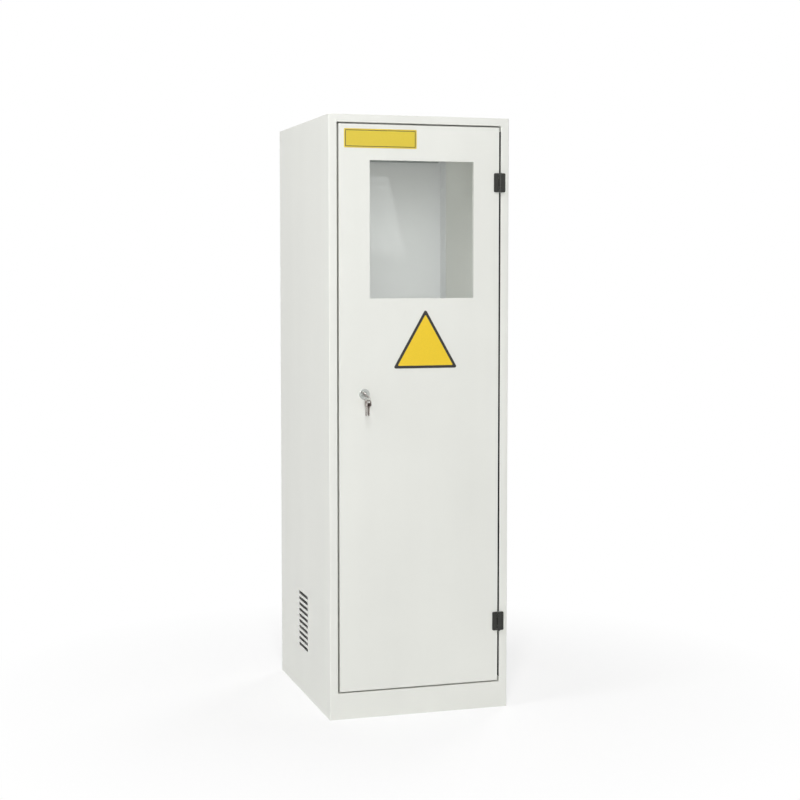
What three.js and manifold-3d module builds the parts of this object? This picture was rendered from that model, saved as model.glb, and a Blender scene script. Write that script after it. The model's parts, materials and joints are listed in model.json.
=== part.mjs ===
// Gas cylinder cabinet of folded sheet steel with one glazed, lockable door.
// Millimetres, +Z up, front towards -Y, standing on z = 0, centred on its own box.
import * as THREE from "three";
import { mergeVertices } from "three/addons/utils/BufferGeometryUtils.js";
import Module from "manifold-3d";

const wasm = await Module();
wasm.setup();

// Cabinet body
const WIDTH = 600;
const DEPTH = 690;
const HEIGHT = 1920;
const SHEET = 1.5; // steel sheet of the body and the door
const FRONT_BEND = 3; // outer radius of the fold from side to stile
const REAR_BEND = 2.2; // outer radius of the folds at the back
const REAR_RETURN = 22; // side panel's flange behind the back panel
const BACK_WING = 57; // back panel's flange along each side panel
const ROOF_ROUND = 1.2; // rounding of the roof's upper rim
const ROOF_HEM = 30; // roof's flange down inside the walls

// Fits
const FIT = 0.3; // clearance between seated pieces
const OVERRUN = 2; // how far a cutter runs past the face that it cuts
const WELD = 1e-4; // vertices closer than this are one

// Door frame, made by the folded stiles, the head rail and the sill rail
const STILE = 27;
const HEAD = 25;
const SILL = 83.8;
const REBATE = 30; // depth from the front face to the door stop
const STOP_SHOW = 17.5; // width of the door stop inside the jamb
const JAMB_ROUND = 2;
const SILL_FOOT = 24; // sill's flange on the floor

// Vent slots, low on both sides and in the roof
const VENT_COUNT = 10;
const VENT_PITCH = 19.7;
const VENT_LENGTH = 125;
const VENT_HEIGHT = 11;
const VENT_FOOT = 158; // height of the lowest slot's middle
const VENT_FROM_FACE = 296;
const ROOF_VENT_FROM_BACK = 130;

// Floor deck and the runners that carry it
const DECK_HEM = 30;
const RUNNER_WIDTH = 40;
const RUNNER_SPREAD = 135; // from the middle to each runner, under a cylinder

// Door
const DOOR_GAP = 6; // at the door's sides
const DOOR_GAP_LEVEL = 5; // above and below the door
const DOOR_DEPTH = 25;
const DOOR_RETURN = 16;
const DOOR_ROUND = 1.2;
const STIFFENER_SHARES = [0.753, 0.33]; // middle and lower one, on the way from the door's foot to the lock
const STIFFENER_CROWN = 30;
const STIFFENER_RISE = 14;
const STIFFENER_FLANGE = 14;
const STIFFENER_BEND = 2.5;
const SEAL_WIDTH = 12;
const SEAL_INSET = 2.2; // from the jamb to the seal

// Window in the door
const WINDOW_WIDTH = 346;
const WINDOW_HEIGHT = 434.5;
const WINDOW_SHIFT = 6.5; // to the right of the middle
const WINDOW_DROP = 111.5; // below the door's upper edge
const WINDOW_CORNER = 2;
const PANE = 4;
const PANE_LAP = 13; // pane's lap behind the door skin
const GASKET = 2;
const GASKET_LAP = 11;
const GLAZING_BORDER = 16; // glazing frame outside the pane
const GLAZING_LIP = 3; // glazing frame behind the pane

// Surface hinges
const HINGE_FROM_HEAD = 176;
const HINGE_FROM_FOOT = 197;
const HINGE_HEIGHT = 61;
const DOOR_LEAF = 21.5;
const FRAME_LEAF = 17.2;
const LEAF = 4;
const LEAF_CORNER = 4;
const LEAF_ROUND = 0.9;
const KNUCKLE_RADIUS = 5;
const KNUCKLE_LIFT = 0.5; // barrel's clearance in front of the door gap
const KNUCKLE_SHARE = 0.3; // frame knuckle's share of the hinge's height, at each end
const HINGE_PIN_RADIUS = 2.5;
const PIN_HEAD_RADIUS = 4;
const PIN_HEAD = 1.2;

// Cam lock
const LOCK_DROP = 849; // below the door's upper edge
const LOCK_INSET = 81.7; // from the door's side edge
const ROSETTE_RADIUS = 17;
const ROSETTE_BORE = 9.3;
const ROSETTE = 2.6;
const ROSETTE_EDGE = 1.2;
const BARREL_RADIUS = 9;
const BARREL_BEHIND = 33.5; // barrel's reach behind the door face
const BARREL_PROUD = 3.4;
const BARREL_CHAMFER = 0.6;
const NUT_ACROSS_CORNERS = 27.6;
const NUT = 5;
const PLUG_RADIUS = 6;
const PLUG_PROUD = 3;
const TANG = 7.8; // square tang that drives the cam
const CAM = 3;
const CAM_WIDTH = 18;
const CAM_TIP_WIDTH = 14;
const CAM_LAP = 10.5; // cam's reach over the door stop
const CAM_SCREW_RADIUS = 2.5;
const CAM_SCREW_LENGTH = 10;
const CAM_SCREW_HEAD_RADIUS = 5.5;
const CAM_SCREW_HEAD = 3;
const STRIKE_HEIGHT = 56;
const STRIKE_EDGE = 1; // from the stop's edge to the strike

// Keys, all alike
const KEY_TILT = 45; // degrees that the inserted key's bow leans down to the right
const KEY = 2;
const BLADE_WIDTH = 8;
const BLADE_LENGTH = 26;
const BITS_SHARES = [0.22, 0.42, 0.62, 0.8]; // places of the cuts along the blade
const BIT_DEPTH_SHARES = [0.26, 0.36, 0.2, 0.32]; // depths of the cuts in the blade's width
const BIT_WIDTH = 3.6;
const BLADE_TIP = 3;
const SHOULDER_WIDTH = 11;
const SHOULDER = 4;
const BOW_WIDTH = 26;
const BOW_LENGTH = 20;
const EYE_LENGTH = 16;
const EYE_HEIGHT = 5.6;
const EYE_FROM_END = 6.3; // from the bow's end to the middle of its eye
const KEYWAY_PLAY = 0.3;
const RING_RADIUS = 10;
const RING_WIRE = 0.8; // radius of the wire
const SPARE_PLACES = [-20, 30]; // degrees round the ring from its lowest point
const SPARE_TURNS = [0, 25]; // degrees that each turns its edge away from the door

// Cradles that hold two cylinders against the back
const CYLINDER_RADIUS = 115;
const CYLINDER_SPREAD = 135; // from the middle to each cylinder
const CYLINDER_OFF_WALL = 15;
const CRADLE_CLEARANCE = 3;
const CRADLE_HEIGHTS = { lower: 480, upper: 1150 };
const CRADLE_WIDTH = 530;
const CRADLE_DEPTH = 80;
const CRADLE = 3;
const CRADLE_FLANGE = 50;
const CRADLE_CORNER = 8;

// Retaining bar in front of the cylinders
const BAR_HEIGHT = 1120;
const BAR_RADIUS = 12.5;
const BAR_WALL = 2;
const BAR_OFF_CYLINDER = 6;
const BAR_PIVOT_OFF_WALL = 26;
const BAR_END = 13; // tube beyond the pivot
const BAR_TIP_GAP = 9; // from the far wall to the bar's tip
const BAR_PLAY = 0.4;
const BAR_PIN_RADIUS = 4;
const BAR_PIN_HEAD_RADIUS = 6.5;
const BAR_PIN_HEAD = 3;
const CAP = 3;
const CAP_STUB = 16;
const BRACKET = 3;
const BRACKET_HEIGHT = 76;
const BRACKET_FLANGE = 16; // bracket's foot beyond each ear
const EAR_RADIUS = 15;
const FORK_LENGTH = 42;
const FORK_LIP = 9; // fork's arms above the bar's middle

// Facets
const ROUND_STEPS = 24;
const FINE_STEPS = 36;
const BEND_STEPS = 4;
const RIM_STEPS = 2;
const WIRE_STEPS = 8;

// Levels that follow from the sizes above
const BOW_REACH = PLUG_PROUD + FIT + SHOULDER + BOW_LENGTH;
const EYE_OUT = BOW_REACH - EYE_FROM_END;
const TILT = THREE.MathUtils.degToRad(KEY_TILT);
// The bow of a spare key is the foremost point.
const KEY_REACH = Math.max(
  ...SPARE_TURNS.map((degrees) => {
    const turn = THREE.MathUtils.degToRad(degrees);
    return EYE_OUT + (BOW_WIDTH / 2) * Math.cos(turn) + (KEY / 2) * Math.sin(turn);
  }),
);
const FACE = -(DEPTH - KEY_REACH) / 2;
const BACK = FACE + DEPTH;
const STOP_FRONT = FACE + REBATE;
const STOP_BACK = STOP_FRONT + SHEET;
const WALL_BACK = BACK - 2 * SHEET;
const WALL_SIDE = WIDTH / 2 - SHEET;
const LINED_SIDE = WALL_SIDE - FIT - SHEET;
const OPENING = WIDTH / 2 - STILE;
const STOP_EDGE = OPENING - STOP_SHOW;
const ROOF_UNDER = HEIGHT - SHEET;
const DOOR_SIDE = OPENING - DOOR_GAP;
const DOOR_FOOT = SILL + DOOR_GAP_LEVEL;
const DOOR_HEAD = HEIGHT - HEAD - DOOR_GAP_LEVEL;
const SKIN_BACK = FACE + SHEET;
const WINDOW_HEAD = DOOR_HEAD - WINDOW_DROP;
const WINDOW_FOOT = WINDOW_HEAD - WINDOW_HEIGHT;
const LOCK_HEIGHT = DOOR_HEAD - LOCK_DROP;
const STIFFENER_SPACE = [
  LOCK_HEIGHT + NUT_ACROSS_CORNERS / 2,
  WINDOW_FOOT - PANE_LAP - GLAZING_BORDER,
]; // clear height for the upper stiffener
const STIFFENER_HEIGHTS = {
  upper: (STIFFENER_SPACE[0] + STIFFENER_SPACE[1]) / 2,
  middle: DOOR_FOOT + STIFFENER_SHARES[0] * (LOCK_HEIGHT - DOOR_FOOT),
  lower: DOOR_FOOT + STIFFENER_SHARES[1] * (LOCK_HEIGHT - DOOR_FOOT),
};
const HINGE_X = OPENING - DOOR_GAP / 2;
const HINGE_Y = FACE - KNUCKLE_LIFT - KNUCKLE_RADIUS;
const LOCK_X = LOCK_INSET - DOOR_SIDE;
const CYLINDER_Y = WALL_BACK - CYLINDER_OFF_WALL - CYLINDER_RADIUS;
const BAR_Y = CYLINDER_Y - CYLINDER_RADIUS - BAR_OFF_CYLINDER - BAR_RADIUS;
const BAR_PIVOT_X = WALL_SIDE - BRACKET - BAR_PIVOT_OFF_WALL;

// Finishes, as colour, roughness and metalness
const FINISHES = {
  paint: [0xe6e7e2, 0.5, 0],
  liner: [0xc9ced1, 0.55, 0],
  hinge: [0x3a3b37, 0.6, 0],
  pin: [0x6e6f6c, 0.4, 0.8],
  zinc: [0xb9bcbe, 0.35, 0.9],
  chrome: [0xc8ccce, 0.2, 1],
  nickel: [0xa9a49c, 0.3, 1],
  rubber: [0x2a2b2b, 0.85, 0],
  glass: [0xdfe6e6, 0.08, 0],
};

// Solids from three.js geometry

function solid(geometry) {
  const bare = geometry.index ? geometry.toNonIndexed() : geometry.clone();
  bare.deleteAttribute("normal");
  bare.deleteAttribute("uv");
  const merged = mergeVertices(bare, WELD);
  return new wasm.Manifold(
    new wasm.Mesh({
      numProp: 3,
      vertProperties: merged.attributes.position.array,
      triVerts: new Uint32Array(merged.index.array),
    }),
  );
}

function joined(solids) {
  return solids.reduce((whole, next) => whole.add(next));
}

function boxGeometry(x, y, z) {
  const geometry = new THREE.BoxGeometry(x[1] - x[0], y[1] - y[0], z[1] - z[0]);
  return geometry.translate((x[0] + x[1]) / 2, (y[0] + y[1]) / 2, (z[0] + z[1]) / 2);
}

function block(x, y, z) {
  return solid(boxGeometry(x, y, z));
}

// Turns from the drawing plane, in which a shape is extruded towards the viewer.
const ALONG = {
  x: new THREE.Matrix4().set(0, 0, 1, 0, 1, 0, 0, 0, 0, 1, 0, 0, 0, 0, 0, 1),
  y: new THREE.Matrix4().set(1, 0, 0, 0, 0, 0, -1, 0, 0, 1, 0, 0, 0, 0, 0, 1),
  z: new THREE.Matrix4(),
};

// Extrudes a shape along an axis from one place to another. The shape is drawn in (y, z) for x,
// (x, z) for y and (x, y) for z. A round softens both rims and stays inside the outline.
function extruded(shape, axis, from, to, round = 0) {
  const geometry = new THREE.ExtrudeGeometry(shape, {
    depth: to - from - 2 * round,
    bevelEnabled: round > 0,
    bevelThickness: round,
    bevelSize: round,
    bevelOffset: -round,
    bevelSegments: RIM_STEPS,
    curveSegments: ROUND_STEPS / 4,
  });
  geometry.translate(0, 0, round);
  if (axis === "y") geometry.translate(0, 0, -to);
  else geometry.translate(0, 0, from);
  return solid(geometry.applyMatrix4(ALONG[axis]));
}

// A round bar along an axis through (u, v), which are the shape's own coordinates in extruded().
function rod(radius, axis, u, v, from, to, steps = ROUND_STEPS) {
  const circle = [];
  for (let i = 0; i < steps; i++) {
    const angle = (2 * Math.PI * (i + 0.5)) / steps;
    circle.push(new THREE.Vector2(u + radius * Math.cos(angle), v + radius * Math.sin(angle)));
  }
  return extruded(new THREE.Shape(circle), axis, from, to);
}

// A turned piece: its profile, closed on itself or on the axis, is (radius, height), and its axis
// points to the front through (x, z), with height zero at the door face.
function turnedToFront(profile, x, z) {
  const points = profile.map(([radius, height]) => new THREE.Vector2(radius, height));
  const geometry = new THREE.LatheGeometry(points, FINE_STEPS);
  geometry.rotateX(Math.PI);
  geometry.translate(x, FACE, z);
  return solid(geometry);
}

// Outlines

function rectangle(u, v, corner = 0) {
  const shape = new THREE.Shape();
  if (!corner) {
    shape.setFromPoints([u[0], u[1], u[1], u[0]].map((a, i) => new THREE.Vector2(a, v[i >> 1])));
    return shape;
  }
  shape.absarc(u[1] - corner, v[0] + corner, corner, -Math.PI / 2, 0);
  shape.absarc(u[1] - corner, v[1] - corner, corner, 0, Math.PI / 2);
  shape.absarc(u[0] + corner, v[1] - corner, corner, Math.PI / 2, Math.PI);
  shape.absarc(u[0] + corner, v[0] + corner, corner, Math.PI, 1.5 * Math.PI);
  shape.closePath();
  return shape;
}

function ring(outer, hole) {
  outer.holes.push(hole);
  return outer;
}

// A slot with round ends, long in u.
function slot(u, v, length, height) {
  const radius = height / 2;
  const shape = new THREE.Shape();
  shape.absarc(u + length / 2 - radius, v, radius, -Math.PI / 2, Math.PI / 2);
  shape.absarc(u - length / 2 + radius, v, radius, Math.PI / 2, 1.5 * Math.PI);
  shape.closePath();
  return shape;
}

// The outline of a sheet folded square along the corners of its middle plane. Each inner corner
// has the outer radius of its fold, or zero for a sharp one.
function folded(corners, bends, thickness = SHEET) {
  const path = corners.map(([u, v]) => new THREE.Vector2(u, v));
  const heading = (i) => path[i + 1].clone().sub(path[i]).normalize();
  const leftOf = (way) => new THREE.Vector2(-way.y, way.x);
  const side = (sign) => {
    const shift = (sign * thickness) / 2;
    const points = [path[0].clone().addScaledVector(leftOf(heading(0)), shift)];
    for (let i = 1; i < path.length - 1; i++) {
      const before = heading(i - 1);
      const after = heading(i);
      const bend = bends[i - 1];
      if (!bend) {
        const mitre = leftOf(before).add(leftOf(after));
        points.push(path[i].clone().addScaledVector(mitre, shift));
        continue;
      }
      const middle = bend - thickness / 2;
      const centre = path[i].clone().addScaledVector(after, middle).addScaledVector(before, -middle);
      const radius = middle - shift * Math.sign(before.cross(after));
      for (let k = 0; k <= BEND_STEPS; k++) {
        const angle = (Math.PI / 2) * (k / BEND_STEPS);
        const point = centre.clone().addScaledVector(after, -radius * Math.cos(angle));
        points.push(point.addScaledVector(before, radius * Math.sin(angle)));
      }
    }
    const last = path.length - 1;
    points.push(path[last].clone().addScaledVector(leftOf(heading(last - 1)), shift));
    return points;
  };
  return new THREE.Shape([...side(1), ...side(-1).reverse()]);
}

// The scene graph

const cabinet = new THREE.Group();

function piece(name, finish, made) {
  const { vertProperties, triVerts } = made.getMesh();
  const geometry = new THREE.BufferGeometry();
  geometry.setAttribute("position", new THREE.BufferAttribute(vertProperties, 3));
  geometry.setIndex(new THREE.BufferAttribute(triVerts, 1));
  geometry.computeVertexNormals();
  const [color, roughness, metalness] = FINISHES[finish];
  const material = new THREE.MeshStandardMaterial({ color, roughness, metalness });
  if (finish === "glass") Object.assign(material, { transparent: true, opacity: 0.35 });
  const mesh = new THREE.Mesh(geometry, material);
  mesh.name = name;
  return mesh;
}

// Body panels

function ventSlots(axis, u, v, from, to) {
  const slots = [];
  for (let i = 0; i < VENT_COUNT; i++) {
    const outline = slot(u, v + i * VENT_PITCH, VENT_LENGTH, VENT_HEIGHT);
    slots.push(extruded(outline, axis, from, to));
  }
  return joined(slots);
}

// One folded sheet holds a side, its stile, jamb and door stop, and its return at the back.
// hand is -1 for the left panel and 1 for the right one.
function sidePanel(hand) {
  const half = SHEET / 2;
  const outline = folded(
    [
      [hand * (WIDTH / 2 - REAR_RETURN), BACK - half],
      [hand * (WIDTH / 2 - half), BACK - half],
      [hand * (WIDTH / 2 - half), FACE + half],
      [hand * (OPENING + half), FACE + half],
      [hand * (OPENING + half), STOP_FRONT + half],
      [hand * STOP_EDGE, STOP_FRONT + half],
    ],
    [REAR_BEND, FRONT_BEND, 0, 0],
  );
  const edge = new THREE.Shape();
  edge.moveTo(OPENING, FACE);
  edge.lineTo(OPENING + JAMB_ROUND, FACE);
  edge.absarc(OPENING + JAMB_ROUND, FACE + JAMB_ROUND, JAMB_ROUND, -Math.PI / 2, Math.PI, true);
  const points = edge.getPoints(ROUND_STEPS / 4).map((p) => new THREE.Vector2(hand * p.x, p.y));
  const rounding = extruded(new THREE.Shape(points), "z", SILL, HEIGHT - HEAD);
  const walls = [WALL_SIDE - OVERRUN, WIDTH / 2 + OVERRUN].map((x) => hand * x).sort((a, b) => a - b);
  const vents = ventSlots("x", FACE + VENT_FROM_FACE + VENT_LENGTH / 2, VENT_FOOT, ...walls);
  return extruded(outline, "z", 0, ROOF_UNDER).subtract(rounding).subtract(vents);
}

function backPanel() {
  const side = WALL_SIDE - FIT - SHEET / 2;
  const outline = folded(
    [
      [-side, WALL_BACK - BACK_WING],
      [-side, WALL_BACK + SHEET / 2],
      [side, WALL_BACK + SHEET / 2],
      [side, WALL_BACK - BACK_WING],
    ],
    [REAR_BEND, REAR_BEND],
  );
  return extruded(outline, "z", 0, ROOF_UNDER);
}

// The upstanding or hanging hem of a tray that lies inside the lined walls.
function trayHem(bottom, top) {
  const side = LINED_SIDE - FIT;
  const front = STOP_BACK + FIT;
  const back = WALL_BACK - FIT;
  const inner = rectangle([SHEET - side, side - SHEET], [front + SHEET, back - SHEET]);
  return extruded(ring(rectangle([-side, side], [front, back]), inner), "z", bottom, top);
}

function roofPanel() {
  const rim = rectangle([-WIDTH / 2, WIDTH / 2], [FACE, BACK], FRONT_BEND);
  const thick = extruded(rim, "z", ROOF_UNDER - OVERRUN, HEIGHT, ROOF_ROUND);
  const beyond = [-WIDTH, WIDTH];
  const lid = thick.subtract(block(beyond, beyond, [ROOF_UNDER - 2 * OVERRUN, ROOF_UNDER]));
  const firstVent = BACK - ROOF_VENT_FROM_BACK - (VENT_COUNT - 1) * VENT_PITCH;
  const vents = ventSlots("z", 0, firstVent, ROOF_UNDER - OVERRUN, HEIGHT + OVERRUN);
  return lid.subtract(vents).add(trayHem(ROOF_UNDER - ROOF_HEM, HEIGHT - SHEET / 2));
}

function floorDeck() {
  const side = LINED_SIDE - FIT;
  const deck = block([-side, side], [STOP_BACK + FIT, WALL_BACK - FIT], [SILL - SHEET, SILL]);
  return deck.add(trayHem(SILL - DECK_HEM, SILL - SHEET / 2));
}

// A rail between the stiles, notched at both ends for their door stops.
function rail(corners, bends) {
  const long = extruded(folded(corners, bends), "x", -OPENING, OPENING);
  const notch = (hand) =>
    block(
      [STOP_EDGE, OPENING + OVERRUN].map((x) => hand * x).sort((a, b) => a - b),
      [STOP_FRONT, STOP_BACK + OVERRUN],
      [-OVERRUN, HEIGHT],
    );
  return long.subtract(notch(-1)).subtract(notch(1));
}

function headRail() {
  const half = SHEET / 2;
  return rail(
    [
      [FACE + half, ROOF_UNDER],
      [FACE + half, HEIGHT - HEAD + half],
      [STOP_FRONT + half, HEIGHT - HEAD + half],
      [STOP_FRONT + half, HEIGHT - HEAD - STOP_SHOW],
    ],
    [JAMB_ROUND, 0],
  );
}

function sillRail() {
  const half = SHEET / 2;
  return rail(
    [
      [FACE + SILL_FOOT, half],
      [FACE + half, half],
      [FACE + half, SILL - half],
      [STOP_FRONT + half, SILL - half],
      [STOP_FRONT + half, SILL + STOP_SHOW],
    ],
    [0, JAMB_ROUND, 0],
  );
}

// A channel from front to back, standing on the floor, with its open side outwards.
function baseRunner(hand) {
  const half = SHEET / 2;
  const near = RUNNER_SPREAD - RUNNER_WIDTH / 2 + half;
  const far = RUNNER_SPREAD + RUNNER_WIDTH / 2;
  const top = SILL - SHEET - half;
  const outline = folded(
    [
      [hand * far, half],
      [hand * near, half],
      [hand * near, top],
      [hand * far, top],
    ],
    [REAR_BEND, REAR_BEND],
  );
  const inset = FIT + SHEET + FIT;
  return extruded(outline, "y", STOP_BACK + inset, WALL_BACK - inset);
}

function doorSeal() {
  const inset = (gap) =>
    rectangle(
      [gap - OPENING, OPENING - gap],
      [SILL + gap, HEIGHT - HEAD - gap],
    );
  const outline = ring(inset(SEAL_INSET), inset(SEAL_INSET + SEAL_WIDTH));
  return extruded(outline, "y", FACE + DOOR_DEPTH + FIT, STOP_FRONT);
}

function strikePlate() {
  const edge = STOP_EDGE + STRIKE_EDGE;
  const height = [LOCK_HEIGHT - STRIKE_HEIGHT / 2, LOCK_HEIGHT + STRIKE_HEIGHT / 2];
  return block([-OPENING, -edge], [STOP_BACK, STOP_BACK + SHEET], height);
}

// Door

function doorSkin() {
  const inset = (gap) =>
    rectangle([gap - DOOR_SIDE, DOOR_SIDE - gap], [DOOR_FOOT + gap, DOOR_HEAD - gap]);
  const outer = extruded(inset(0), "y", FACE, FACE + DOOR_DEPTH + OVERRUN, DOOR_ROUND);
  const beyond = [-WIDTH, WIDTH];
  const rear = block(beyond, [FACE + DOOR_DEPTH, FACE + DOOR_DEPTH + 2 * OVERRUN], [0, HEIGHT]);
  const hollow = extruded(inset(SHEET), "y", SKIN_BACK, FACE + DOOR_DEPTH - SHEET);
  const mouth = extruded(inset(DOOR_RETURN), "y", SKIN_BACK, FACE + DOOR_DEPTH + OVERRUN);
  const through = [FACE - OVERRUN, SKIN_BACK + OVERRUN];
  const window = extruded(windowOutline(0, WINDOW_CORNER), "y", ...through);
  const lockHole = rod(BARREL_RADIUS + FIT, "y", LOCK_X, LOCK_HEIGHT, ...through);
  return [rear, hollow, mouth, window, lockHole].reduce((door, cut) => door.subtract(cut), outer);
}

// The window's outline, grown by a lap.
function windowOutline(lap, corner = 0) {
  return rectangle(
    [WINDOW_SHIFT - WINDOW_WIDTH / 2 - lap, WINDOW_SHIFT + WINDOW_WIDTH / 2 + lap],
    [WINDOW_FOOT - lap, WINDOW_HEAD + lap],
    corner,
  );
}

function windowGasket() {
  const outline = ring(windowOutline(GASKET_LAP), windowOutline(0, WINDOW_CORNER));
  return extruded(outline, "y", SKIN_BACK, SKIN_BACK + GASKET);
}

function windowPane() {
  return extruded(windowOutline(PANE_LAP), "y", SKIN_BACK + GASKET, SKIN_BACK + GASKET + PANE);
}

// The glazing frame is rebated, so that it clamps the pane against the gasket.
function windowFrame() {
  const paneBack = SKIN_BACK + GASKET + PANE;
  const outline = ring(windowOutline(PANE_LAP + GLAZING_BORDER, WINDOW_CORNER), windowOutline(0));
  const frame = extruded(outline, "y", SKIN_BACK, paneBack + GLAZING_LIP);
  const rebate = extruded(windowOutline(PANE_LAP + FIT), "y", SKIN_BACK - OVERRUN, paneBack);
  return frame.subtract(rebate);
}

// A hat channel across the inside of the door.
function doorStiffener(height) {
  const half = SHEET / 2;
  const wall = STIFFENER_CROWN / 2 - half;
  const foot = wall + STIFFENER_FLANGE;
  const low = SKIN_BACK + half;
  const high = SKIN_BACK + STIFFENER_RISE - half;
  const outline = folded(
    [
      [low, height - foot],
      [low, height - wall],
      [high, height - wall],
      [high, height + wall],
      [low, height + wall],
      [low, height + foot],
    ],
    [STIFFENER_BEND, STIFFENER_BEND, STIFFENER_BEND, STIFFENER_BEND],
  );
  const end = DOOR_SIDE - SHEET - FIT;
  return extruded(outline, "x", -end, end);
}

// Hinges. side is -1 for the door's leaf, with one knuckle in the middle, and 1 for the frame's
// leaf, with a knuckle at each end.

function knuckleSpans(side, middle) {
  const end = HINGE_HEIGHT / 2;
  const split = end - KNUCKLE_SHARE * HINGE_HEIGHT;
  if (side < 0) return [[middle - split + FIT / 2, middle + split - FIT / 2]];
  return [
    [middle - end, middle - split - FIT / 2],
    [middle + split + FIT / 2, middle + end],
  ];
}

function hingeLeaf(side, middle) {
  const order = (a, b) => (side < 0 ? [HINGE_X - b, HINGE_X - a] : [HINGE_X + a, HINGE_X + b]);
  const reach = side < 0 ? DOOR_LEAF : FRAME_LEAF;
  const clear = KNUCKLE_RADIUS + FIT;
  const span = [middle - HINGE_HEIGHT / 2, middle + HINGE_HEIGHT / 2];
  const plate = extruded(
    rectangle(order(clear, reach), span, LEAF_CORNER),
    "y",
    FACE - LEAF,
    FACE,
    LEAF_ROUND,
  );
  // Beside the barrel the plate is square, so that only its outer corners are round.
  const root = block(order(clear, reach - LEAF_CORNER), [FACE - LEAF, FACE - KNUCKLE_LIFT], span);
  const knuckles = knuckleSpans(side, middle).map((z) => {
    const web = block(order(0, clear + LEAF_ROUND), [FACE - LEAF, FACE - KNUCKLE_LIFT], z);
    return rod(KNUCKLE_RADIUS, "z", HINGE_X, HINGE_Y, ...z).add(web);
  });
  const bore = rod(
    HINGE_PIN_RADIUS + FIT,
    "z",
    HINGE_X,
    HINGE_Y,
    span[0] - OVERRUN,
    span[1] + OVERRUN,
  );
  return joined([plate, root, ...knuckles]).subtract(bore);
}

function hingePin(middle) {
  const end = HINGE_HEIGHT / 2 + FIT;
  const across = (radius, from, to) => rod(radius, "z", HINGE_X, HINGE_Y, from, to);
  return joined([
    across(HINGE_PIN_RADIUS, middle - end - PIN_HEAD / 2, middle + end + PIN_HEAD / 2),
    across(PIN_HEAD_RADIUS, middle - end - PIN_HEAD, middle - end),
    across(PIN_HEAD_RADIUS, middle + end, middle + end + PIN_HEAD),
  ]);
}

// Lock. Heights in the turned profiles count forwards from the door face.

function lockRosette() {
  return turnedToFront(
    [
      [ROSETTE_BORE, 0],
      [ROSETTE_RADIUS, 0],
      [ROSETTE_RADIUS, ROSETTE - ROSETTE_EDGE],
      [ROSETTE_RADIUS - ROSETTE_EDGE, ROSETTE],
      [ROSETTE_BORE, ROSETTE],
      [ROSETTE_BORE, 0],
    ],
    LOCK_X,
    LOCK_HEIGHT,
  );
}

function lockBarrel() {
  const bore = PLUG_RADIUS + FIT;
  return turnedToFront(
    [
      [bore, -BARREL_BEHIND],
      [BARREL_RADIUS, -BARREL_BEHIND],
      [BARREL_RADIUS, BARREL_PROUD - BARREL_CHAMFER],
      [BARREL_RADIUS - BARREL_CHAMFER, BARREL_PROUD],
      [bore, BARREL_PROUD],
      [bore, -BARREL_BEHIND],
    ],
    LOCK_X,
    LOCK_HEIGHT,
  );
}

function lockNut() {
  const hexagon = new THREE.CylinderGeometry(NUT_ACROSS_CORNERS / 2, NUT_ACROSS_CORNERS / 2, NUT, 6);
  hexagon.translate(LOCK_X, SKIN_BACK + NUT / 2, -LOCK_HEIGHT);
  const matrix = new THREE.Matrix4().set(1, 0, 0, 0, 0, 1, 0, 0, 0, 0, -1, 0, 0, 0, 0, 1);
  hexagon.applyMatrix4(matrix);
  hexagon.setIndex([...hexagon.index.array].reverse());
  const through = [SKIN_BACK - OVERRUN, SKIN_BACK + NUT + OVERRUN];
  return solid(hexagon).subtract(rod(ROSETTE_BORE, "y", LOCK_X, LOCK_HEIGHT, ...through));
}

// The plug, cam and key are made with their axis through x = 0, z = 0 and the key flat, and
// stand in groups that put them in the lock.

const SHOULDER_Y = FACE + BARREL_BEHIND + FIT; // where the plug's tang starts
const CAM_FRONT = SHOULDER_Y + FIT;
const TANG_END = CAM_FRONT + CAM + FIT;
const KEY_SHOULDER_Y = FACE - PLUG_PROUD - FIT;

function lockPlug() {
  const body = rod(PLUG_RADIUS, "y", 0, 0, FACE - PLUG_PROUD, SHOULDER_Y, FINE_STEPS);
  const half = TANG / 2;
  const tang = block([-half, half], [SHOULDER_Y - OVERRUN, TANG_END], [-half, half]);
  const wide = BLADE_WIDTH / 2 + KEYWAY_PLAY;
  const thick = KEY / 2 + KEYWAY_PLAY;
  const keyway = boxGeometry(
    [-wide, wide],
    [FACE - PLUG_PROUD - OVERRUN, KEY_SHOULDER_Y + BLADE_LENGTH + KEYWAY_PLAY],
    [-thick, thick],
  ).rotateY(TILT);
  const depth = CAM_SCREW_LENGTH + FIT;
  const tapped = rod(CAM_SCREW_RADIUS + FIT, "y", 0, 0, TANG_END - depth, TANG_END + OVERRUN);
  return body.add(tang).subtract(solid(keyway)).subtract(tapped);
}

// The cam hangs down from the plug while the door is unlocked.
function lockCam() {
  const reach = LOCK_X + STOP_EDGE + CAM_LAP;
  const tip = CAM_TIP_WIDTH / 2;
  const outline = new THREE.Shape();
  outline.absarc(0, 0, CAM_WIDTH / 2, 0, Math.PI);
  outline.absarc(tip / 2 - tip, tip / 2 - reach, tip / 2, Math.PI, 1.5 * Math.PI);
  outline.absarc(tip - tip / 2, tip / 2 - reach, tip / 2, -Math.PI / 2, 0);
  outline.closePath();
  const half = TANG / 2 + FIT;
  const seat = block([-half, half], [CAM_FRONT - OVERRUN, CAM_FRONT + CAM + OVERRUN], [-half, half]);
  return extruded(outline, "y", CAM_FRONT, CAM_FRONT + CAM).subtract(seat);
}

function camScrew() {
  const head = TANG_END + FIT;
  const shank = rod(CAM_SCREW_RADIUS, "y", 0, 0, TANG_END - CAM_SCREW_LENGTH, head + CAM_SCREW_HEAD / 2);
  return shank.add(rod(CAM_SCREW_HEAD_RADIUS, "y", 0, 0, head, head + CAM_SCREW_HEAD));
}

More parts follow.
